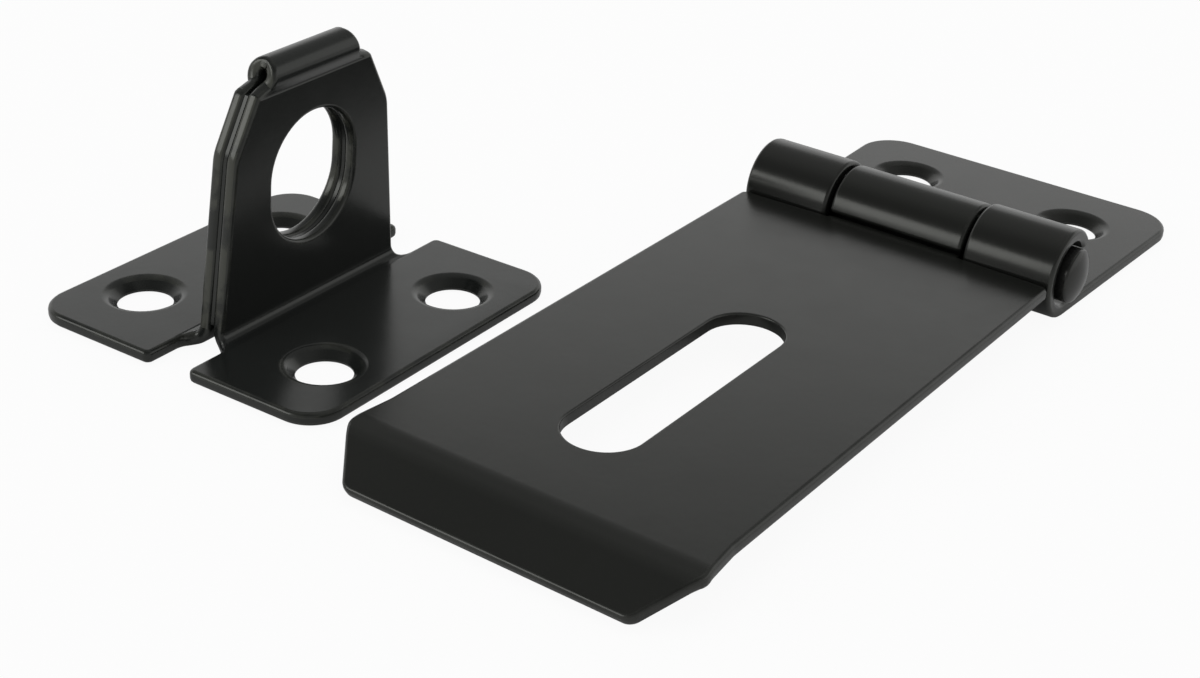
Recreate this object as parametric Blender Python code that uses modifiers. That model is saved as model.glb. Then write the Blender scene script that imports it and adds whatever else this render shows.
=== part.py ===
"""Safety hasp and staple in black coated sheet steel.

Four pieces. A mounting plate is rolled into the two outer knuckles of a hinge barrel. A slotted
strap is rolled into the middle knuckle, and its free end is folded down into a chamfered lip. A
domed pin runs through all three knuckles. The staple is one sheet folded double into an upright
tongue with a rolled bead on top, a padlock hole through both walls, and two feet.

Each sheet piece is made as in the press shop: a flat blank with its holes is cut out first, and
is then folded along a path of straights and arcs. The hasp lies open on its mounting surface,
z = 0, with the strap towards -Y, the plate towards +Y and the barrel along X.
"""

import math

import bmesh
import bpy
from mathutils import Vector

MM = 0.001

# Sheet, and the width that strap and barrel share
SHEET = 1.4 * MM
HASP_WIDTH = 38.0 * MM

# Pin and barrel
PIN_RADIUS = 3.0 * MM
STRAP_BORE_CLEARANCE = 0.3 * MM
PLATE_BORE_CLEARANCE = 0.55 * MM
MIDDLE_KNUCKLE_LENGTH = 16.3 * MM
KNUCKLE_GAP = 0.4 * MM
PIN_STICK_OUT = 0.8 * MM
PIN_DOME = 0.8 * MM

# Running gap between the strap and what it turns against
CLEARANCE = 0.3 * MM

# Mounting plate
PLATE_REACH = 29.6 * MM
PLATE_END_WIDTH = 40.0 * MM
PLATE_CORNER_RADIUS = 4.7 * MM
PLATE_ROLL_OPENING = math.radians(30.0)
PLATE_HOLE_SPACING = 21.6 * MM
PLATE_HOLE_REACH = 19.9 * MM
NOTCH_CORNER_RADIUS = 0.8 * MM

# Countersunk screw holes, the same in plate and staple
SCREW_HOLE_DIAMETER = 5.8 * MM
COUNTERSINK_DIAMETER = 8.0 * MM

# Strap
STRAP_REACH = 71.5 * MM
STRAP_DROP = 0.2 * MM
STRAP_SHOULDER_RADIUS = 0.8 * MM
SLOT_LENGTH = 31.8 * MM
SLOT_WIDTH = 8.2 * MM
SLOT_CENTRE_REACH = 46.2 * MM
SLOT_SIDE_OFFSET = -0.4 * MM

# Lip at the strap's free end
LIP_ANGLE = math.radians(32.0)
LIP_LENGTH = 6.3 * MM
LIP_BEND_RADIUS = 1.5 * MM
LIP_BEND_WIDTH = 39.1 * MM
LIP_END_WIDTH = 31.2 * MM
LIP_CORNER_RADIUS = 1.6 * MM
FLARE_LENGTH = 5.0 * MM
FLARE_RADIUS = 5.0 * MM

# Staple feet
FEET_SPAN = 38.3 * MM
FOOT_LENGTH = 38.9 * MM
FOOT_CORNER_RADIUS = 4.0 * MM
FOOT_INNER_CORNER_RADIUS = 0.8 * MM
FOOT_HOLE_SPAN = 24.5 * MM
FOOT_HOLE_SPACING = 20.5 * MM
FOOT_BEND_RADIUS = 1.0 * MM

# Staple tongue, with heights measured up from the mounting surface
TONGUE_HEIGHT = 29.4 * MM
TONGUE_LEAN = math.radians(3.4)
TONGUE_BASE_WIDTH = 27.2 * MM
TONGUE_SHOULDER_WIDTH = 22.9 * MM
TONGUE_SHOULDER_HEIGHT = 20.6 * MM
TONGUE_ROOT_RADIUS = 1.8 * MM
TONGUE_SHOULDER_RADIUS = 4.0 * MM
WALL_GAP = 0.4 * MM
LOOP_HOLE_WIDTH = 12.2 * MM
LOOP_HOLE_STRETCH = 1.9 * MM
LOOP_HOLE_HEIGHT = 15.5 * MM

# Rolled bead along the top of the tongue
BEAD_MEAN_RADIUS = 1.15 * MM
BEAD_NECK_RADIUS = 1.5 * MM
BEAD_NECK_WIDTH = 16.9 * MM
BEAD_SIDE_WIDTH = 13.3 * MM
BEAD_CREST_WIDTH = 11.7 * MM

# Where the loose staple stands, from the middle of the hinge barrel
STAPLE_X = -44.45 * MM
STAPLE_Y = -51.4 * MM
STAPLE_TURN = math.radians(1.8)

# Fineness of round shapes
ARC_STEP = math.radians(6.0)
ROUND_STEPS = 48

# Worked out from the sizes above
HALF_SHEET = SHEET / 2
PLATE_ROLL_RADIUS = PIN_RADIUS + PLATE_BORE_CLEARANCE + HALF_SHEET
AXIS_HEIGHT = PLATE_ROLL_RADIUS + HALF_SHEET
STRAP_ROLL_RADIUS = PIN_RADIUS + STRAP_BORE_CLEARANCE + HALF_SHEET
SHOULDER_REACH = AXIS_HEIGHT + CLEARANCE


def clear_scene():
    """Remove whatever the opened scene holds."""
    for scene_object in list(bpy.data.objects):
        bpy.data.objects.remove(scene_object)


def new_collection(name):
    collection = bpy.data.collections.new(name)
    bpy.context.scene.collection.children.link(collection)
    return collection


def coated_steel(name, grey, roughness):
    """Principled material of a black coated steel piece."""
    material = bpy.data.materials.new(name)
    material.use_nodes = True
    shader = material.node_tree.nodes["Principled BSDF"]
    shader.inputs["Base Color"].default_value = (grey, grey, grey, 1.0)
    shader.inputs["Roughness"].default_value = roughness
    shader.inputs["Metallic"].default_value = 0.0
    material.diffuse_color = (grey, grey, grey, 1.0)
    return material


def arc_points(centre, radius, start, sweep):
    """Points along an arc, both ends included."""
    steps = max(1, math.ceil(abs(sweep) / ARC_STEP))
    angles = [start + sweep * step / steps for step in range(steps + 1)]
    return [(centre[0] + radius * math.cos(a), centre[1] + radius * math.sin(a)) for a in angles]


def rounded_outline(corners):
    """Closed outline through corners (x, s, radius), each rounded with its own radius."""
    points = []
    for index, (x, s, radius) in enumerate(corners):
        corner = Vector((x, s))
        before = (Vector(corners[index - 1][:2]) - corner).normalized()
        after = (Vector(corners[(index + 1) % len(corners)][:2]) - corner).normalized()
        half_angle = before.angle(after) / 2
        if radius == 0.0 or half_angle > math.radians(89.9):
            points.append((x, s))
            continue
        centre = corner + (before + after).normalized() * (radius / math.sin(half_angle))
        first = corner + before * (radius / math.tan(half_angle)) - centre
        last = corner + after * (radius / math.tan(half_angle)) - centre
        sweep = math.atan2(first.cross(last), first.dot(last))
        points.extend(arc_points(centre, radius, math.atan2(first.y, first.x), sweep))
    return points


def mirrored(half):
    """Corners of a whole outline from those on its +X side, listed towards +s."""
    return half + [(-x, s, radius) for x, s, radius in reversed(half)]


def slot_outline(length, width):
    """Outline of a slot with full round ends, lengthways along s."""
    half = [(width / 2, -length / 2, width / 2), (width / 2, length / 2, width / 2)]
    return rounded_outline(mirrored(half))


def evaluated_mesh(source, name):
    """Mesh of an object as its modifiers leave it; the object is removed."""
    depsgraph = bpy.context.evaluated_depsgraph_get()
    mesh = bpy.data.meshes.new_from_object(source.evaluated_get(depsgraph))
    bpy.data.objects.remove(source)
    mesh.name = name
    return mesh


def prism(name, outline, half_height):
    """One face drawn round a flat outline, extruded to half its height above and below z = 0."""
    shape = bmesh.new()
    corners = [shape.verts.new((x, s, -half_height)) for x, s in outline]
    base = shape.faces.new(corners)
    raised = bmesh.ops.extrude_face_region(shape, geom=[base])["geom"]
    top = [element for element in raised if isinstance(element, bmesh.types.BMVert)]
    bmesh.ops.translate(shape, verts=top, vec=(0.0, 0.0, 2 * half_height))
    bmesh.ops.remove_doubles(shape, verts=shape.verts, dist=0.001 * MM)
    bmesh.ops.recalc_face_normals(shape, faces=shape.faces)
    mesh = bpy.data.meshes.new(name)
    shape.to_mesh(mesh)
    shape.free()
    return mesh


def screw_hole_cutter(name):
    """Turned cutter of a countersunk screw hole, wide at the sheet's upper face."""
    hole_radius = SCREW_HOLE_DIAMETER / 2
    cone_depth = (COUNTERSINK_DIAMETER - SCREW_HOLE_DIAMETER) / 2
    profile = [
        (0.0, SHEET),
        (COUNTERSINK_DIAMETER / 2 + HALF_SHEET, SHEET),
        (hole_radius, HALF_SHEET - cone_depth),
        (hole_radius, -SHEET),
        (0.0, -SHEET),
    ]
    return turned_mesh(name, profile)


def pierced(mesh, holes, cutters):
    """Flat sheet with each hole (cutter mesh, x, s) cut through it."""
    name = mesh.name
    sheet = bpy.data.objects.new(name, mesh)
    bpy.context.scene.collection.objects.link(sheet)
    for cutter_mesh, x, s in holes:
        cutter = bpy.data.objects.new(cutter_mesh.name, cutter_mesh)
        cutter.location = (x, s, 0.0)
        cutter.hide_render = True
        cutter.display_type = "WIRE"
        cutters.objects.link(cutter)
        cut = sheet.modifiers.new(cutter_mesh.name, "BOOLEAN")
        cut.operation = "DIFFERENCE"
        cut.solver = "EXACT"
        cut.object = cutter
    return evaluated_mesh(sheet, name)


def straight(length):
    return (length, 0.0)


def bend(radius, turn):
    """A bend of the sheet's middle plane: turn is positive to the left of the path."""
    return (radius * abs(turn), turn)


def fold_stations(start, heading, moves):
    """Stations (developed length, point, heading) along a folded sheet's middle plane."""
    point = Vector(start)
    travelled = 0.0
    stations = [(travelled, point.copy(), heading)]
    for length, turn in moves:
        steps = max(1, math.ceil(abs(turn) / ARC_STEP))
        step_turn = turn / steps
        chord = length / steps
        if turn:
            chord *= math.sin(step_turn / 2) / (step_turn / 2)
        for _ in range(steps):
            direction = heading + step_turn / 2
            point += chord * Vector((math.cos(direction), math.sin(direction)))
            heading += step_turn
            travelled += length / steps
            stations.append((travelled, point.copy(), heading))
    return stations


def length_of(moves):
    return sum(length for length, _ in moves)


def fold(mesh, stations):
    """Fold a flat blank: its length s follows the stations, and its thickness their normals."""
    shape = bmesh.new()
    shape.from_mesh(mesh)
    for travelled, _, _ in stations[1:-1]:
        bmesh.ops.bisect_plane(
            shape,
            geom=shape.verts[:] + shape.edges[:] + shape.faces[:],
            dist=0.0005 * MM,
            plane_co=(0.0, travelled, 0.0),
            plane_no=(0.0, 1.0, 0.0),
        )
    for vertex in shape.verts:
        x, s, n = vertex.co
        index = 0
        while index < len(stations) - 2 and stations[index + 1][0] < s:
            index += 1
        ends = []
        for _, point, heading in stations[index:index + 2]:
            ends.append(point + n * Vector((-math.sin(heading), math.cos(heading))))
        before = stations[index][0]
        after = stations[index + 1][0]
        y, z = ends[0].lerp(ends[1], (s - before) / (after - before))
        vertex.co = (x, y, z)
    shape.to_mesh(mesh)
    shape.free()
    mesh.shade_smooth()
    mesh.set_sharp_from_angle(angle=math.radians(30.0))
    return mesh


def add_piece(name, mesh, material, collection, parent):
    piece = bpy.data.objects.new(name, mesh)
    mesh.materials.clear()
    mesh.materials.append(material)
    collection.objects.link(piece)
    piece.parent = parent
    return piece


def add_empty(name, collection, parent=None, location=(0.0, 0.0, 0.0)):
    empty = bpy.data.objects.new(name, None)
    empty.location = location
    empty.parent = parent
    collection.objects.link(empty)
    return empty


def turned_mesh(name, profile):
    """Solid of revolution about Z from points (radius, height), listed from top to bottom."""
    mesh = bpy.data.meshes.new(name)
    edges = [(index, index + 1) for index in range(len(profile) - 1)]
    mesh.from_pydata([(radius, 0.0, height) for radius, height in profile], edges, [])
    outline = bpy.data.objects.new(name, mesh)
    bpy.context.scene.collection.objects.link(outline)
    screw = outline.modifiers.new("turn", "SCREW")
    screw.steps = ROUND_STEPS
    screw.render_steps = ROUND_STEPS
    screw.use_merge_vertices = True
    screw.merge_threshold = 0.01 * MM
    return evaluated_mesh(outline, name)


def make_mounting_plate(hinge_axis, collection, cutters):
    """Plate screwed down at +Y, rolled over the pin into the two outer knuckles."""
    roll_turn = 2 * math.pi - math.pi / 2 - PLATE_ROLL_OPENING
    start = PLATE_ROLL_RADIUS * Vector((math.cos(PLATE_ROLL_OPENING), math.sin(PLATE_ROLL_OPENING)))
    roll = bend(PLATE_ROLL_RADIUS, roll_turn)
    moves = [roll, straight(PLATE_REACH)]
    stations = fold_stations(start, PLATE_ROLL_OPENING + math.pi / 2, moves)

    roll_length = length_of([roll])
    end = roll_length + PLATE_REACH
    notch_half = MIDDLE_KNUCKLE_LENGTH / 2 + KNUCKLE_GAP
    notch_end = roll_length + STRAP_ROLL_RADIUS + HALF_SHEET + KNUCKLE_GAP
    half = [
        (notch_half, notch_end, NOTCH_CORNER_RADIUS),
        (notch_half, 0.0, 0.0),
        (HASP_WIDTH / 2, 0.0, 0.0),
        (HASP_WIDTH / 2, roll_length, 0.0),
        (PLATE_END_WIDTH / 2, end, PLATE_CORNER_RADIUS),
    ]
    screw_hole = screw_hole_cutter("plate_screw_hole")
    hole_s = roll_length + PLATE_HOLE_REACH
    holes = [(screw_hole, side * PLATE_HOLE_SPACING / 2, hole_s) for side in (-1, 1)]
    sheet = prism("mounting_plate", rounded_outline(mirrored(half)), HALF_SHEET)
    mesh = fold(pierced(sheet, holes, cutters), stations)
    material = coated_steel("mounting_plate_black", 0.022, 0.42)
    return add_piece("mounting_plate", mesh, material, collection, hinge_axis)


def make_hinge_pin(hinge_axis, collection):
    """Round pin through the three knuckles, with a shallow dome on each end."""
    half_length = HASP_WIDTH / 2 + PIN_STICK_OUT
    dome_radius = (PIN_RADIUS ** 2 + PIN_DOME ** 2) / (2 * PIN_DOME)
    dome_angle = math.asin(PIN_RADIUS / dome_radius)
    steps = max(1, math.ceil(dome_angle / ARC_STEP))
    dome = []
    for step in range(steps + 1):
        angle = dome_angle * step / steps
        height = half_length + PIN_DOME - dome_radius * (1 - math.cos(angle))
        dome.append((dome_radius * math.sin(angle), height))
    profile = dome + [(radius, -height) for radius, height in reversed(dome)]
    mesh = turned_mesh("hinge_pin", profile)
    mesh.shade_smooth()
    mesh.set_sharp_from_angle(angle=math.radians(30.0))
    pin = add_piece(
        "hinge_pin", mesh, coated_steel("hinge_pin_black", 0.018, 0.38), collection, hinge_axis
    )
    pin.rotation_euler = (0.0, math.pi / 2, 0.0)
    return pin


def strap_neck_radius():
    """Middle radius of the dip that leads the strap from its shoulders under the pin."""
    reach = SHOULDER_REACH
    return (reach ** 2 + STRAP_DROP ** 2 - STRAP_ROLL_RADIUS ** 2) / (
        2 * (STRAP_ROLL_RADIUS - STRAP_DROP)
    )


def strap_roll_end(neck_radius):
    """Angle on the barrel where the rolled edge stops, just clear of the strap's top face."""
    between = neck_radius + STRAP_ROLL_RADIUS
    outside = STRAP_ROLL_RADIUS + HALF_SHEET
    reach = neck_radius + HALF_SHEET + CLEARANCE
    apart = math.acos((between ** 2 + outside ** 2 - reach ** 2) / (2 * between * outside))
    return math.pi + strap_neck_angle(neck_radius) - apart


def strap_neck_angle(neck_radius):
    """How far below the level of the pin the neck's centre lies, as an angle from -Y."""
    return math.atan2(STRAP_DROP + neck_radius, SHOULDER_REACH)


def make_strap(hinge_axis, collection, cutters):
    """Slotted strap: rolled middle knuckle, flat with shoulders, and folded lip."""
    neck_radius = strap_neck_radius()
    neck_angle = strap_neck_angle(neck_radius)
    roll_end = strap_roll_end(neck_radius)
    roll_turn = 2 * math.pi - (math.pi + neck_angle - roll_end)
    lip_bend = LIP_BEND_RADIUS + HALF_SHEET
    bend_tangent = lip_bend * math.tan(LIP_ANGLE / 2)
    face_to_middle = HALF_SHEET * math.tan(LIP_ANGLE / 2)
    flat_length = STRAP_REACH - face_to_middle - bend_tangent - SHOULDER_REACH
    lip_straight = LIP_LENGTH - face_to_middle - bend_tangent

    knuckle = [
        bend(STRAP_ROLL_RADIUS, -roll_turn),
        bend(neck_radius, math.pi / 2 - neck_angle),
    ]
    flat = [straight(flat_length)]
    lip = [bend(lip_bend, LIP_ANGLE), straight(lip_straight)]
    start = STRAP_ROLL_RADIUS * Vector((math.cos(roll_end), math.sin(roll_end)))
    stations = fold_stations(start, roll_end - math.pi / 2, knuckle + flat + lip)

    shoulder = length_of(knuckle)
    flat_end = shoulder + flat_length
    bend_middle = flat_end + length_of(lip[:1]) / 2
    end = length_of(knuckle + flat + lip)
    half = [
        (MIDDLE_KNUCKLE_LENGTH / 2, 0.0, 0.0),
        (MIDDLE_KNUCKLE_LENGTH / 2, shoulder, 0.0),
        (HASP_WIDTH / 2, shoulder, STRAP_SHOULDER_RADIUS),
        (HASP_WIDTH / 2, bend_middle - FLARE_LENGTH, FLARE_RADIUS),
        (LIP_BEND_WIDTH / 2, bend_middle, LIP_BEND_RADIUS),
        (LIP_END_WIDTH / 2, end, LIP_CORNER_RADIUS),
    ]
    slot = prism("strap_slot", slot_outline(SLOT_LENGTH, SLOT_WIDTH), SHEET)
    slot_middle = shoulder + SLOT_CENTRE_REACH - SHOULDER_REACH
    sheet = prism("strap", rounded_outline(mirrored(half)), HALF_SHEET)
    mesh = fold(pierced(sheet, [(slot, SLOT_SIDE_OFFSET, slot_middle)], cutters), stations)
    strap = add_piece(
        "strap", mesh, coated_steel("strap_black", 0.020, 0.40), collection, hinge_axis
    )
    strap.rotation_euler = (resting_pitch(mesh), 0.0, 0.0)
    return strap


def resting_pitch(mesh):
    """Turn about the barrel that brings the lip's lowest edge down onto the surface."""
    pitches = []
    for vertex in mesh.vertices:
        reach = math.hypot(vertex.co.y, vertex.co.z)
        if vertex.co.y < -AXIS_HEIGHT and reach > AXIS_HEIGHT:
            slope = math.atan2(-vertex.co.z, -vertex.co.y)
            pitches.append(math.asin(AXIS_HEIGHT / reach) - slope)
    return min(pitches)


def make_staple(assembly, collection, cutters):
    """Loose staple: two feet, and a doubled tongue with a padlock hole and a rolled bead."""
    wall_offset = (WALL_GAP + SHEET) / 2
    foot_bend = FOOT_BEND_RADIUS + HALF_SHEET
    root_height = HALF_SHEET + foot_bend
    root_offset = wall_offset + foot_bend
    lean_shift = root_offset * math.tan(TONGUE_LEAN)
    foot_width = FEET_SPAN / 2 - root_offset / math.cos(TONGUE_LEAN)

    neck_turn = math.acos(
        (wall_offset + BEAD_NECK_RADIUS) / (BEAD_MEAN_RADIUS + BEAD_NECK_RADIUS)
    )
    bead_rise = (BEAD_MEAN_RADIUS + BEAD_NECK_RADIUS) * math.sin(neck_turn)
    bead_centre = TONGUE_HEIGHT - BEAD_MEAN_RADIUS - HALF_SHEET
    wall_top = bead_centre - bead_rise - root_height

    first_bend = bend(foot_bend, math.pi / 2 - TONGUE_LEAN)
    second_bend = bend(foot_bend, math.pi / 2 + TONGUE_LEAN)
    neck = bend(BEAD_NECK_RADIUS, neck_turn)
    bead = bend(BEAD_MEAN_RADIUS, -(math.pi + 2 * neck_turn))
    first_side = [straight(foot_width), first_bend, straight(wall_top + lean_shift)]
    top = [neck, bead, neck]
    second_side = [straight(wall_top - lean_shift), second_bend, straight(foot_width)]
    stations = fold_stations((-FEET_SPAN / 2, HALF_SHEET), 0.0, first_side + top + second_side)

    first_wall_top = length_of(first_side)
    second_wall_top = first_wall_top + length_of(top)
    crest = (first_wall_top + second_wall_top) / 2
    end = length_of(first_side + top + second_side)

    def below_top(height):
        """Distance down the walls from where the bead's neck starts."""
        return wall_top + root_height - height

    foot = FOOT_LENGTH / 2
    shoulder_drop = below_top(TONGUE_SHOULDER_HEIGHT)
    neck_length = length_of([neck])
    half = [
        (foot, 0.0, FOOT_CORNER_RADIUS),
        (foot, foot_width, FOOT_INNER_CORNER_RADIUS),
        (TONGUE_BASE_WIDTH / 2, foot_width, TONGUE_ROOT_RADIUS),
        (TONGUE_SHOULDER_WIDTH / 2, first_wall_top - shoulder_drop, TONGUE_SHOULDER_RADIUS),
        (BEAD_NECK_WIDTH / 2, first_wall_top, 0.0),
        (BEAD_SIDE_WIDTH / 2, first_wall_top + neck_length, 0.0),
        (BEAD_CREST_WIDTH / 2, crest, 0.0),
        (BEAD_SIDE_WIDTH / 2, second_wall_top - neck_length, 0.0),
        (BEAD_NECK_WIDTH / 2, second_wall_top, 0.0),
        (TONGUE_SHOULDER_WIDTH / 2, second_wall_top + shoulder_drop, TONGUE_SHOULDER_RADIUS),
        (TONGUE_BASE_WIDTH / 2, end - foot_width, TONGUE_ROOT_RADIUS),
        (foot, end - foot_width, FOOT_INNER_CORNER_RADIUS),
        (foot, end, FOOT_CORNER_RADIUS),
    ]
    hole_drop = below_top(LOOP_HOLE_HEIGHT)
    loop_hole = prism("loop_hole", slot_outline(LOOP_HOLE_WIDTH + LOOP_HOLE_STRETCH, LOOP_HOLE_WIDTH), SHEET)
    screw_hole = screw_hole_cutter("foot_screw_hole")
    hole_edge = (FEET_SPAN - FOOT_HOLE_SPAN) / 2
    holes = [
        (loop_hole, 0.0, first_wall_top - hole_drop),
        (loop_hole, 0.0, second_wall_top + hole_drop),
    ]
    for side in (-1, 1):
        for s in (hole_edge, end - hole_edge):
            holes.append((screw_hole, side * FOOT_HOLE_SPACING / 2, s))
    sheet = prism("staple", rounded_outline(mirrored(half)), HALF_SHEET)
    mesh = fold(pierced(sheet, holes, cutters), stations)
    staple = add_piece(
        "staple", mesh, coated_steel("staple_black", 0.020, 0.40), collection, assembly
    )
    staple.location = (STAPLE_X, STAPLE_Y, 0.0)
    staple.rotation_euler = (0.0, 0.0, STAPLE_TURN - math.pi / 2)
    return staple


def centre_footprint(assembly, pieces):
    """Move the assembly so that the middle of its bounding box's underside is the origin."""
    bpy.context.view_layer.update()
    corners = []
    for piece in pieces:
        corners.extend(piece.matrix_world @ vertex.co for vertex in piece.data.vertices)
    for axis in (0, 1):
        low = min(corner[axis] for corner in corners)
        high = max(corner[axis] for corner in corners)
        assembly.location[axis] = -(low + high) / 2


def main():
    clear_scene()
    collection = new_collection("safety_hasp_and_staple")
    cutters = new_collection("cutters")
    assembly = add_empty("assembly", collection)
    hinge_axis = add_empty("hinge_axis", collection, assembly, (0.0, 0.0, AXIS_HEIGHT))
    pieces = [
        make_mounting_plate(hinge_axis, collection, cutters),
        make_hinge_pin(hinge_axis, collection),
        make_strap(hinge_axis, collection, cutters),
        make_staple(assembly, collection, cutters),
    ]
    centre_footprint(assembly, pieces)


main()
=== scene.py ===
# %% [markdown]
# # A black safety hasp with its staple
#
# A safety hasp closes a door or a lid. A slotted strap swings on a rolled hinge, folds over the
# plate that carries it and so hides the plate's screws, and its slot drops over the tongue of a
# staple, where a padlock goes through. Here it lies open, with the staple beside it.
#
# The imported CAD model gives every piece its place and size. This lesson dresses it: rounded sheet
# edges, a black coating, soft studio light, and a camera.

# %% Load the frame
from math import atan2, cos, radians, sin, tan

import bpy
from mathutils import Matrix, Vector


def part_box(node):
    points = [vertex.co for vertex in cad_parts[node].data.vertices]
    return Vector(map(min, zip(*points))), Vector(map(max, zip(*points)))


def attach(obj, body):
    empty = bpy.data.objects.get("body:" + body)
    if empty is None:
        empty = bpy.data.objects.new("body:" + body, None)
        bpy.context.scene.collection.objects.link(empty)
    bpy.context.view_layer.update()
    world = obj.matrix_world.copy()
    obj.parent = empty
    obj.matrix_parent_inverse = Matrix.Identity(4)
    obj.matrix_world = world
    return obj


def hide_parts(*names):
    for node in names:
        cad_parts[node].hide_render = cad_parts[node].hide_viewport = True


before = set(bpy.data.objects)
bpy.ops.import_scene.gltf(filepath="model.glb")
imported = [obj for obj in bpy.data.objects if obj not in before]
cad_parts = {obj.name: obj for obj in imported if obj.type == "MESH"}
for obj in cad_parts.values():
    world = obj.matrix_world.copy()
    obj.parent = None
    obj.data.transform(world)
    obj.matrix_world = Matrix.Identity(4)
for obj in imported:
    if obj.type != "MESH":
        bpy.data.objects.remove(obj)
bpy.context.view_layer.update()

print("CAD pieces:", ", ".join(sorted(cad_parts)))

# %% [markdown]
# ## The camera
#
# The picture was taken from above the strap's lip end, with a slightly long lens and the camera
# held a little out of level. The azimuth, from the frame's -Y towards +X, and the elevation say
# from which side it looks, and the roll turns it about its own line of sight. The three together
# give the camera's axes directly, which is surer than typing three Euler angles.

# %% Camera
CAMERA_PLACE = Vector((0.110576, -0.165226, 0.098164))
CAMERA_AZIMUTH = radians(34.607)
CAMERA_ELEVATION = radians(28.039)
CAMERA_ROLL = radians(2.919)
LENS = 60.7
SENSOR_WIDTH = 36.0
NEAREST_SEEN = 0.005


def camera_axes(azimuth, elevation, roll):
    """The camera's right, up and backward directions."""
    back = Vector((sin(azimuth) * cos(elevation), -cos(azimuth) * cos(elevation), sin(elevation)))
    level = Vector((cos(azimuth), sin(azimuth), 0.0))
    upright = back.cross(level)
    right = level * cos(roll) + upright * sin(roll)
    up = upright * cos(roll) - level * sin(roll)
    return right, up, back


camera_data = bpy.data.cameras.new("studio_camera")
camera_data.lens = LENS
camera_data.sensor_width = SENSOR_WIDTH
camera_data.sensor_fit = "HORIZONTAL"
camera_data.clip_start = NEAREST_SEEN
camera = bpy.data.objects.new("studio_camera", camera_data)
bpy.context.scene.collection.objects.link(camera)
axes = Matrix(camera_axes(CAMERA_AZIMUTH, CAMERA_ELEVATION, CAMERA_ROLL)).transposed()
camera.matrix_world = Matrix.Translation(CAMERA_PLACE) @ axes.to_4x4()
bpy.context.scene.camera = camera
print("camera", round(CAMERA_PLACE.length * 1000), "mm from the frame's origin")

# %% [markdown]
# ## A helper for shader nodes
#
# A material is a small graph of nodes. One function adds a node, sets what it is given and links
# its inputs, so that each material below reads as a list of steps.

# %% Add a shader node
def add_node(tree, kind, settings=None, **inputs):
    """Adds a node to a tree and returns it.

    settings are the node's own properties. inputs are values, or sockets to link: by the name of
    the node's socket, or as s0, s1 and so on by its number, where several share a name.
    """
    node = tree.nodes.new(kind)
    for name, value in (settings or {}).items():
        setattr(node, name, value)
    for name, value in inputs.items():
        numbered = name[0] == "s" and name[1:].isdigit()
        socket = node.inputs[int(name[1:]) if numbered else name.replace("_", " ")]
        if isinstance(value, bpy.types.NodeSocket):
            tree.links.new(value, socket)
        else:
            socket.default_value = value
    return node


def linear(hex_colour):
    """A colour written as #rrggbb in sRGB, as the linear RGBA that shaders take."""
    channels = [int(hex_colour[i:i + 2], 16) / 255 for i in (1, 3, 5)]
    return [c / 12.92 if c <= 0.04045 else ((c + 0.055) / 1.055) ** 2.4 for c in channels] + [1.0]


# %% [markdown]
# ## The finish: satin black coating on folded steel
#
# The steel is cut, folded and rolled, and then coated black all over. The film is thin and satin,
# close to black. It has flow waves and a faint orange-peel surface, duller and glossier patches
# where it was handled, and slight wear along the cut edges. It is a dielectric, not bare metal:
# its colour comes from the base colour, and its shine from a weak, slightly rough reflection.
#
# The patterns could be drawn as image textures. Noise in object coordinates, at the real sizes,
# needs no unwrapping, runs across the edges without a seam and stays sharp from close by.

# %% Sizes and amounts of the film's patterns
MILLIMETRE = 0.001

# Sizes in millimetres.
PATCH_SIZE = 14.0     # where the film lies thicker or thinner
WAVE_SIZE = 7.0       # where it flowed, which bends the reflections a little
MARK_SIZE = 3.0       # handling marks
PEEL_SIZE = 0.8       # orange peel at its real size, which is 8 pixels here
GRAIN_SIZE = 0.22     # powder grain: really 0.05 mm and too fine to show, so drawn larger

# Roughness of the glossiest and the dullest marks, and the tint of what the film mirrors, which
# makes the black a little warm and green.
GLOSSIEST = 0.19
DULLEST = 0.26
MIRROR_TINT = (0.985, 1.0, 0.945, 1.0)

# Height of the relief, and the waves' and the grain's height as a multiple of the peel's.
RELIEF = 0.004 * MILLIMETRE
WAVE_HEIGHT = 3.0
GRAIN_HEIGHT = 0.4

# The marks between these two levels of their noise show wear, from none to full.
WEAR_FROM = 0.40
WEAR_TO = 0.70


def per_metre(size_mm):
    """Noise scale for features of that size: object coordinates are in metres."""
    return 1.0 / (size_mm * MILLIMETRE)


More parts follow.
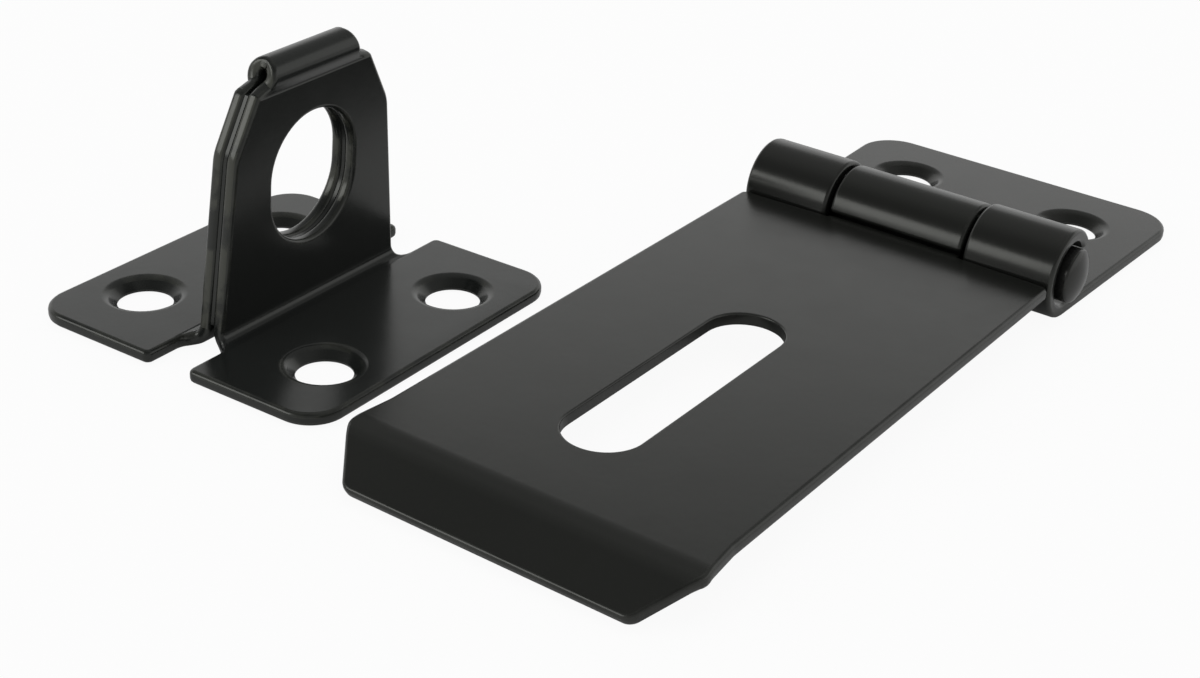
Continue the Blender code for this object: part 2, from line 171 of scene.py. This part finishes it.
# %% Black coating
def black_coating(name, film, rubbed, seed):
    """Satin black film. film and rubbed are its sRGB tones; seed shifts the pattern per piece."""
    material = bpy.data.materials.new(name)
    material.use_nodes = True
    tree = material.node_tree
    tree.nodes.clear()
    place = add_node(tree, "ShaderNodeTexCoord").outputs["Object"]
    shift = (seed, seed * 0.7, 0.0)
    place = add_node(tree, "ShaderNodeMapping", Vector=place, Location=shift).outputs[0]
    patches = add_node(tree, "ShaderNodeTexNoise", Vector=place, Scale=per_metre(PATCH_SIZE), Detail=2.0)
    waves = add_node(tree, "ShaderNodeTexNoise", Vector=place, Scale=per_metre(WAVE_SIZE), Detail=1.0)
    marks = add_node(tree, "ShaderNodeTexNoise", Vector=place, Scale=per_metre(MARK_SIZE), Detail=4.0)
    peel = add_node(tree, "ShaderNodeTexNoise", Vector=place, Scale=per_metre(PEEL_SIZE), Detail=1.0)
    grain = add_node(tree, "ShaderNodeTexNoise", Vector=place, Scale=per_metre(GRAIN_SIZE), Detail=2.0)

    # Colour: two close tones in patches, and a paler one where the edges are rubbed.
    tone = add_node(
        tree, "ShaderNodeMix", {"data_type": "RGBA"}, Factor=patches.outputs[0],
        s6=linear(film[0]), s7=linear(film[1]),
    )
    edge_rub = add_node(tree, "ShaderNodeAttribute", {"attribute_name": "edge_rub"})
    worn_marks = add_node(
        tree, "ShaderNodeMapRange", Value=marks.outputs[0], From_Min=WEAR_FROM, From_Max=WEAR_TO,
    )
    wear = add_node(
        tree, "ShaderNodeMath", {"operation": "MULTIPLY"},
        s0=edge_rub.outputs["Fac"], s1=worn_marks.outputs[0],
    )
    colour = add_node(
        tree, "ShaderNodeMix", {"data_type": "RGBA"}, Factor=wear.outputs[0],
        s6=tone.outputs[2], s7=linear(rubbed),
    )

    # Gloss and relief.
    rough = add_node(
        tree, "ShaderNodeMapRange", Value=marks.outputs[0], To_Min=GLOSSIEST, To_Max=DULLEST,
    )
    ripples = add_node(
        tree, "ShaderNodeMath", {"operation": "MULTIPLY_ADD"},
        s0=grain.outputs[0], s1=GRAIN_HEIGHT, s2=peel.outputs[0],
    )
    height = add_node(
        tree, "ShaderNodeMath", {"operation": "MULTIPLY_ADD"},
        s0=waves.outputs[0], s1=WAVE_HEIGHT, s2=ripples.outputs[0],
    )
    bump = add_node(
        tree, "ShaderNodeBump", Height=height.outputs[0], Strength=1.0, Distance=RELIEF,
    )

    # A paint film's IOR is about 1.5.
    shader = add_node(
        tree, "ShaderNodeBsdfPrincipled", Base_Color=colour.outputs[2],
        Roughness=rough.outputs[0], Normal=bump.outputs[0],
        IOR=1.5, Specular_IOR_Level=0.5, Specular_Tint=MIRROR_TINT,
    )
    add_node(tree, "ShaderNodeOutputMaterial", Surface=shader.outputs[0])
    return material


strap_film = black_coating("satin_black_coating_strap", ("#151614", "#191a18"), "#262725", 0.0)
plate_film = black_coating("satin_black_coating_plate", ("#161615", "#1a1b19"), "#262725", 0.31)
staple_film = black_coating("satin_black_coating_staple", ("#141615", "#181a19"), "#3a3b35", 0.57)
pin_film = black_coating("satin_black_coating_pin", ("#141414", "#181818"), "#262725", 0.83)
for film in (strap_film, plate_film, staple_film, pin_film):
    print(film.name, len(film.node_tree.nodes), "nodes")

# %% [markdown]
# ## Rounding the edges of the sheet
#
# Blanking leaves a sheet with square edges, and tumbling and coating round them over. Those small
# roundings catch the light as thin lines, and they are most of what makes sheet metal look real.
# The shader's Bevel node could fake them in a render, but a Bevel modifier makes them in the mesh,
# so that they also go along when the model is exported.
#
# A CAD node is never changed, so each piece is a copy of its node: its loose triangles are merged
# and its flat faces are joined up. Each sharp edge then gets a bevel weight, because one radius
# doesn't suit all: the short land under a countersink has no room for the radius of the sheet's
# edge, the mouth of a countersink is softer than a cut edge, and the strap's slot is crisper.

# %% Merge a copy of a CAD node
WELD = 0.03 * MILLIMETRE
FLAT_ANGLE = radians(1.0)


def merged_copy(node, name):
    """A copy of a CAD node as one closed mesh, with each flat face in one piece."""
    bpy.ops.object.select_all(action="DESELECT")
    piece = bpy.data.objects.new(name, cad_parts[node].data.copy())
    piece.data.name = name
    bpy.context.scene.collection.objects.link(piece)
    bpy.context.view_layer.objects.active = piece
    piece.select_set(True)
    bpy.ops.mesh.customdata_custom_splitnormals_clear()
    bpy.ops.object.mode_set(mode="EDIT")
    bpy.ops.mesh.select_mode(type="EDGE")
    bpy.ops.mesh.select_all(action="SELECT")
    bpy.ops.mesh.remove_doubles(threshold=WELD)
    bpy.ops.mesh.dissolve_limited(angle_limit=FLAT_ANGLE)
    bpy.ops.object.mode_set(mode="OBJECT")
    return piece


# %% Choose the rounding of each edge
CUT_EDGE = radians(50)
MOUTH_EDGE = radians(35)
LAND_HEIGHT = 0.5 * MILLIMETRE

# Shares of the full radius.
LAND_SHARE = 0.35
MOUTH_SHARE = 1.05
SLOT_SHARE = 0.5

# The slot's edges are the only ones this far inside the strap's box.
strap_low, strap_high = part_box("strap")
SLOT_FROM_SIDES = 10 * MILLIMETRE
SLOT_FROM_LIP = (8 * MILLIMETRE, 55 * MILLIMETRE)


def is_land(mesh, face):
    """Whether a face belongs to the short upright wall under a countersink."""
    heights = [mesh.vertices[i].co.z for i in face.vertices]
    return abs(face.normal.z) < 0.01 and max(heights) < LAND_HEIGHT and len(heights) == 4


def in_slot(mesh, edge):
    """Whether an edge belongs to the strap's slot."""
    middle = (mesh.vertices[edge.vertices[0]].co + mesh.vertices[edge.vertices[1]].co) / 2
    from_sides = min(middle.x - strap_low[0], strap_high[0] - middle.x)
    from_lip = middle.y - strap_low[1]
    return from_sides > SLOT_FROM_SIDES and SLOT_FROM_LIP[0] < from_lip < SLOT_FROM_LIP[1]


def weigh_edges(mesh):
    """Gives each sharp edge its share of the full rounding, as a bevel weight."""
    faces_at = {}
    for face in mesh.polygons:
        for key in face.edge_keys:
            faces_at.setdefault(key, []).append(face)
    weights = mesh.attributes.new("bevel_weight_edge", "FLOAT", "EDGE")
    for edge in mesh.edges:
        first, second = faces_at[edge.key]
        turn = first.normal.angle(second.normal)
        if turn > CUT_EDGE:
            land = is_land(mesh, first) or is_land(mesh, second)
            share = SLOT_SHARE if in_slot(mesh, edge) else 1.0
            weights.data[edge.index].value = LAND_SHARE if land else share
        elif turn > MOUTH_EDGE and max(first.normal.z, second.normal.z) > 0.99:
            weights.data[edge.index].value = MOUTH_SHARE


# %% Round the edges
def round_edges(piece, radius):
    """Bevels the weighted edges, and marks the new faces as the ones that wear."""
    rounding = piece.modifiers.new("rounded_edges", "BEVEL")
    rounding.limit_method = "WEIGHT"
    rounding.width = radius
    rounding.segments = 3
    rounding.use_clamp_overlap = False
    rounding.loop_slide = False
    rounding.material = 1
    bpy.ops.object.modifier_apply(modifier=rounding.name)
    rub = piece.data.attributes.new("edge_rub", "FLOAT", "FACE")
    rub.data.foreach_set("value", [float(face.material_index) for face in piece.data.polygons])
    for face in piece.data.polygons:
        face.material_index = 0


# %% [markdown]
# ## Wear on the tongue's edges
#
# Lock and strap rub most on the two cut edges of the staple's tongue, and there the film is worn
# in patches over the whole width of the cut, not only on its rounded corners. The wear could be
# painted by hand. A number on each face does the same and follows the shape if it changes. It
# multiplies the coating's handling marks, so a number above 1 makes the worn patches wider.

# %% Wear the tongue's edges
TONGUE_FOOT = 3.0 * MILLIMETRE
CUT_FACING = 0.8
CUT_FACE_WEAR = 2.5
ROUNDING_WEAR = 0.5


def wear_tongue_edges(staple):
    """Wears the tongue's cut faces, and the rounded edges of the staple half as much as usual."""
    rub = staple.data.attributes["edge_rub"].data
    for face in staple.data.polygons:
        if abs(face.normal.y) > CUT_FACING and face.center.z > TONGUE_FOOT:
            rub[face.index].value = CUT_FACE_WEAR
        else:
            rub[face.index].value *= ROUNDING_WEAR


# %% [markdown]
# ## The bend at the lip
#
# The press rounds the strap gently before the lip, and the coating fills the bend out further, so
# the light fades over it instead of breaking at a line. A wider bevel along the bend would cut
# into the rounded edges that cross it. So the copy is cut across the bend a few more times, and
# each point near it is moved as the sheet would move if it were bent again over a wider tool: it
# keeps its distance along the sheet and its depth in the sheet.

# %% Find the lip's bend
SHEET = 1.4 * MILLIMETRE
CAD_BEND_RADIUS = 2.2 * MILLIMETRE
LIP_BEND_RADIUS = 5.5 * MILLIMETRE
BEND_CUTS = 8
LEAST_LIP_TURN = radians(25)


def lip_corner(mesh):
    """Where the planes of strap and lip meet, and the normals of both."""
    upward = [face for face in mesh.polygons if face.normal.z > 0.7]
    flat = max(upward, key=lambda face: face.area)
    turned = [face for face in upward if face.normal.angle(flat.normal) > LEAST_LIP_TURN]
    lip = max(turned, key=lambda face: face.area)
    flat_height, lip_height = flat.normal.dot(flat.center), lip.normal.dot(lip.center)
    spread = flat.normal.y * lip.normal.z - flat.normal.z * lip.normal.y
    corner = Vector((
        0.0,
        (flat_height * lip.normal.z - flat.normal.z * lip_height) / spread,
        (flat.normal.y * lip_height - lip.normal.y * flat_height) / spread,
    ))
    return corner, flat.normal.copy(), lip.normal.copy()


# %% Widen the lip's bend
def widen_lip_bend(strap):
    """Bends the strap's lip over a wider arc that touches the same two flats."""
    mesh = strap.data
    corner, flat_normal, lip_normal = lip_corner(mesh)
    outward = (flat_normal + lip_normal).normalized()
    along = Vector((0.0, -outward.z, outward.y))
    half = flat_normal.angle(lip_normal) / 2
    new_centre = corner - outward * (LIP_BEND_RADIUS / cos(half))
    bpy.ops.object.mode_set(mode="EDIT")
    for k in range(BEND_CUTS + 1):
        turn = half * (2 * k / BEND_CUTS - 1)
        bpy.ops.mesh.select_all(action="SELECT")
        bpy.ops.mesh.bisect(plane_co=new_centre, plane_no=along * cos(turn) - outward * sin(turn))
    bpy.ops.object.mode_set(mode="OBJECT")

    old_centre = corner - outward * (CAD_BEND_RADIUS / cos(half))
    old_middle = CAD_BEND_RADIUS - SHEET / 2
    new_middle = LIP_BEND_RADIUS - SHEET / 2
    half_length = (new_middle - old_middle) * tan(half) + half * old_middle
    for vertex in mesh.vertices:
        spoke = vertex.co - old_centre
        spoke.x = 0.0
        turn = atan2(spoke.dot(along), spoke.dot(outward))
        if abs(turn) <= half:
            travel, depth = turn * old_middle, spoke.length - CAD_BEND_RADIUS
        else:
            side, normal = (-1.0, flat_normal) if turn < 0 else (1.0, lip_normal)
            onward = Vector((0.0, -normal.z, normal.y))
            travel = side * half * old_middle + spoke.dot(onward)
            depth = (vertex.co - corner).dot(normal)
        if abs(travel) < half_length and depth > -2 * SHEET:
            new_turn = half * travel / half_length
            new_spoke = along * sin(new_turn) + outward * cos(new_turn)
            place = new_centre + new_spoke * (LIP_BEND_RADIUS + depth)
            vertex.co = (vertex.co.x, place.y, place.z)
    print("lip bend at y =", round(corner.y * 1000, 2), "mm,", round(half_length * 2000, 2), "mm wide")


# %% [markdown]
# ## Putting a piece together
#
# A piece goes through the steps in the order of the workshop: cut out, rounded, bent, worn. Last
# come its normals. Plain smooth shading would bulge the light on a flat face next to a rounded
# edge, so the normals are weighted by area, and the wide flat faces win.

# %% Dress a piece
SMOOTH_ANGLE = radians(40)
FULL_WEIGHT = 100


def point_normals(piece):
    """Smooth shading whose normals follow the widest face, so that flat faces stay flat."""
    bpy.ops.object.shade_smooth_by_angle(angle=SMOOTH_ANGLE)
    normals = piece.modifiers.new("flat_faces_flat", "WEIGHTED_NORMAL")
    normals.mode = "FACE_AREA"
    normals.weight = FULL_WEIGHT
    normals.keep_sharp = True
    bpy.ops.object.modifier_apply(modifier=normals.name)


def dressed(node, name, radius, film, body):
    """A coated copy of a CAD node, with its sharp edges rounded to that radius."""
    piece = merged_copy(node, name)
    weigh_edges(piece.data)
    piece.data.materials.clear()
    # The second slot only tells the bevel's new faces apart.
    piece.data.materials.append(film)
    piece.data.materials.append(film)
    round_edges(piece, radius)
    piece.data.materials.pop(index=1)
    if node == "strap":
        widen_lip_bend(piece)
    if node == "staple":
        wear_tongue_edges(piece)
    point_normals(piece)
    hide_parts(node)
    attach(piece, body)
    print(name, len(piece.data.polygons), "faces")


# %% Dress the four pieces
SHEET_ROUNDING = 0.45 * MILLIMETRE
PIN_ROUNDING = 0.2 * MILLIMETRE
STAPLE_ROUNDING = 0.48 * MILLIMETRE

dressed("strap", "coated_strap", SHEET_ROUNDING, strap_film, "swinging_strap")
dressed("mounting_plate", "coated_plate", SHEET_ROUNDING, plate_film, "hinge_plate")
dressed("hinge_pin", "coated_pin", PIN_ROUNDING, pin_film, "hinge_plate")
dressed("staple", "coated_staple", STAPLE_ROUNDING, staple_film, "hinge_plate")

# %% [markdown]
# ## Coating in the fold
#
# The tongue is one sheet folded double, and the coating runs into the narrow gap between its two
# walls and fills it, up to a shallow groove at the edges. A plain slab between the walls would
# need the tongue's outline and its padlock hole drawn again. So the fill is a copy of the right
# wall's inner face, inset to lie back from the edges, and given the thickness of the gap.

# %% Choose the inner face
FOLD_GAP = 0.4 * MILLIMETRE
GROOVE_DEPTH = 0.25 * MILLIMETRE

# The wide faces that look left are the left wall's outer one and the right wall's inner one.
WALL_FACING = -0.9
WALL_AREA = 20 * MILLIMETRE ** 2
SAME_WALL = 1.0 * MILLIMETRE

fill = merged_copy("staple", "coating_in_fold")
leftward = [face for face in fill.data.polygons if face.normal.x < WALL_FACING]
walls = [face for face in leftward if face.area > WALL_AREA]
rightmost = max(face.center.x for face in walls)
for part in (fill.data.vertices, fill.data.edges, fill.data.polygons):
    part.foreach_set("select", [False] * len(part))
for face in walls:
    face.select = face.center.x > rightmost - SAME_WALL
print("inner faces:", sum(face.select for face in fill.data.polygons))

# %% Make the fill
bpy.ops.object.mode_set(mode="EDIT")
bpy.ops.mesh.select_mode(type="FACE")
bpy.ops.mesh.select_all(action="INVERT")
bpy.ops.mesh.delete(type="FACE")
bpy.ops.mesh.select_all(action="SELECT")
bpy.ops.mesh.inset(thickness=GROOVE_DEPTH, depth=0.0, use_boundary=True)
bpy.ops.mesh.select_all(action="INVERT")
bpy.ops.mesh.delete(type="FACE")
bpy.ops.object.mode_set(mode="OBJECT")
thickness = fill.modifiers.new("gap_width", "SOLIDIFY")
thickness.thickness = FOLD_GAP
thickness.offset = 1.0
bpy.ops.object.modifier_apply(modifier=thickness.name)
bpy.ops.object.shade_smooth_by_angle(angle=SMOOTH_ANGLE)
fill.data.materials.clear()
fill.data.materials.append(staple_film)
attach(fill, "hinge_plate")
print("fill in the fold:", len(fill.data.polygons), "faces")

# %% [markdown]
# ## The table
#
# The set is a white table in a light tent. The table's top is matt white laminate: it has no
# gloss, so it shows nothing but the soft shadow of the hasp. More light would make it pure white,
# but would also wash out the object. So part of the surface glows instead, for camera, mirror and
# see-through rays only, and the object isn't lit by it. For mirror rays the glow is weaker,
# because the upright tongue mirrors the table, and on the real one it stays nearly black.

# %% Rays that see the set
WHITE = (1.0, 1.0, 1.0, 1.0)


def seen_ray(tree):
    """1 for camera, glossy and transmission rays, 0 for the rays that light the object."""
    path = add_node(tree, "ShaderNodeLightPath").outputs
    either = add_node(
        tree, "ShaderNodeMath", {"operation": "MAXIMUM"},
        s0=path["Is Camera Ray"], s1=path["Is Glossy Ray"],
    )
    seen = add_node(
        tree, "ShaderNodeMath", {"operation": "MAXIMUM"},
        s0=either.outputs[0], s1=path["Is Transmission Ray"],
    )
    return seen.outputs[0]


# %% White table
TABLE_SIZE = 6.0
TABLE_DROP = 0.2 * MILLIMETRE
TABLE_GLOW = 0.94
MIRRORED_TABLE_GLOW = 0.06

bpy.ops.object.select_all(action="DESELECT")
bpy.ops.mesh.primitive_plane_add(size=TABLE_SIZE, location=(0.0, 0.0, -TABLE_DROP))
floor = bpy.context.object
floor.name = "white_table"
laminate = bpy.data.materials.new("matt_white_laminate")
laminate.use_nodes = True
tree = laminate.node_tree
tree.nodes.clear()
matt = add_node(tree, "ShaderNodeBsdfDiffuse", Color=linear("#d8d8d8"))
glow = add_node(tree, "ShaderNodeEmission", Color=WHITE, Strength=1.0)
path = add_node(tree, "ShaderNodeLightPath")
glow_share = add_node(
    tree, "ShaderNodeMapRange", Value=path.outputs["Is Glossy Ray"],
    To_Min=TABLE_GLOW, To_Max=MIRRORED_TABLE_GLOW,
)
seen_glow = add_node(
    tree, "ShaderNodeMath", {"operation": "MULTIPLY"},
    s0=glow_share.outputs[0], s1=seen_ray(tree),
)
surface = add_node(
    tree, "ShaderNodeMixShader", Fac=seen_glow.outputs[0], s1=matt.outputs[0], s2=glow.outputs[0],
)
add_node(tree, "ShaderNodeOutputMaterial", Surface=surface.outputs[0])
floor.data.materials.append(laminate)
print("white table", TABLE_SIZE, "m wide")

# %% [markdown]
# ## The tent
#
# A black film shows little colour of its own and much of the room. So the tent that it mirrors is
# white at the horizon, fades to grey above about 28 degrees, and is darker on the camera's side,
# where a tent is open. This is what makes the strap pale at the hinge and dark at the lip. Real
# walls could stand round the table, but the world does it without casting shadows. The camera
# sees it plain white, and the light that it gives to the object is even.

# %% Light tent
AMBIENT = 0.55
TENT_WALL = 0.92
CEILING = 0.32
OPEN_FRONT = 0.45

# A direction's Z and Y between which the tent fades, from wall to ceiling and from front to side.
FADE_FROM = sin(radians(28.5))
FADE_TO = sin(radians(35.0))
FRONT_Y = -0.5
SIDE_Y = 0.2

world = bpy.data.worlds.new("light_tent")
world.use_nodes = True
bpy.context.scene.world = world
tree = world.node_tree
tree.nodes.clear()
direction = add_node(tree, "ShaderNodeTexCoord").outputs["Generated"]
direction = add_node(tree, "ShaderNodeSeparateXYZ", Vector=direction).outputs
smooth = {"interpolation_type": "SMOOTHSTEP"}
wall_to_ceiling = add_node(
    tree, "ShaderNodeMapRange", smooth, Value=direction["Z"],
    From_Min=FADE_FROM, From_Max=FADE_TO, To_Min=TENT_WALL, To_Max=CEILING,
)
front_to_side = add_node(
    tree, "ShaderNodeMapRange", smooth, Value=direction["Y"],
    From_Min=FRONT_Y, From_Max=SIDE_Y, To_Min=OPEN_FRONT, To_Max=1.0,
)
tent = add_node(
    tree, "ShaderNodeMath", {"operation": "MULTIPLY"},
    s0=wall_to_ceiling.outputs[0], s1=front_to_side.outputs[0],
)
path = add_node(tree, "ShaderNodeLightPath")
seen_tent = add_node(
    tree, "ShaderNodeMix", {"data_type": "FLOAT"}, Factor=path.outputs["Is Glossy Ray"],
    s2=1.0, s3=tent.outputs[0],
)
light = add_node(tree, "ShaderNodeBackground", Color=WHITE, Strength=AMBIENT)
view = add_node(tree, "ShaderNodeBackground", Color=WHITE, Strength=seen_tent.outputs[0])
mix = add_node(
    tree, "ShaderNodeMixShader", Fac=seen_ray(tree), s1=light.outputs[0], s2=view.outputs[0],
)
add_node(tree, "ShaderNodeOutputWorld", Surface=mix.outputs[0])
print("light tent, ambient", AMBIENT)

# %% [markdown]
# ## Softboxes
#
# Three lamps help the tent. Two only light the film: their mirror images would lie as bright
# patches on the flat faces. The third, low at the front left, is mirrored too, and draws the pale
# bands along the barrel and the bead. Small lamps would do the same with hard shadows, so all
# three are wide.

# %% Softboxes
# Blender gives an area lamp the brightness of its watts divided by four times its area.
WATTS_PER_BRIGHTNESS = 4.0


def softbox(name, azimuth, elevation, distance, width, height, brightness, mirrored=False):
    """A rectangular lamp that faces the object. Its azimuth runs from the frame's +Y towards +X."""
    data = bpy.data.lights.new(name, "AREA")
    data.shape = "RECTANGLE"
    data.size = width
    data.size_y = height
    data.energy = brightness * width * height * WATTS_PER_BRIGHTNESS
    lamp = bpy.data.objects.new(name, data)
    bpy.context.scene.collection.objects.link(lamp)
    direction = Vector((
        sin(radians(azimuth)) * cos(radians(elevation)),
        cos(radians(azimuth)) * cos(radians(elevation)),
        sin(radians(elevation)),
    ))
    lamp.location = direction * distance
    lamp.rotation_euler = direction.to_track_quat("Z", "Y").to_euler()
    lamp.visible_camera = False
    lamp.visible_glossy = mirrored
    print(name, round(data.energy, 2), "W")


softbox("back_panel", -25.0, 14.0, 1.2, width=1.6, height=0.55, brightness=0.9)
softbox("overhead_box", 0.0, 82.0, 1.0, width=0.8, height=0.8, brightness=1.0)
softbox("front_left_box", -147.0, 22.5, 1.0, width=0.6, height=0.40, brightness=2.0, mirrored=True)

# %% [markdown]
#
# The dressed pieces keep the CAD's size.

# %% Colour management
bpy.context.scene.view_settings.view_transform = "Standard"
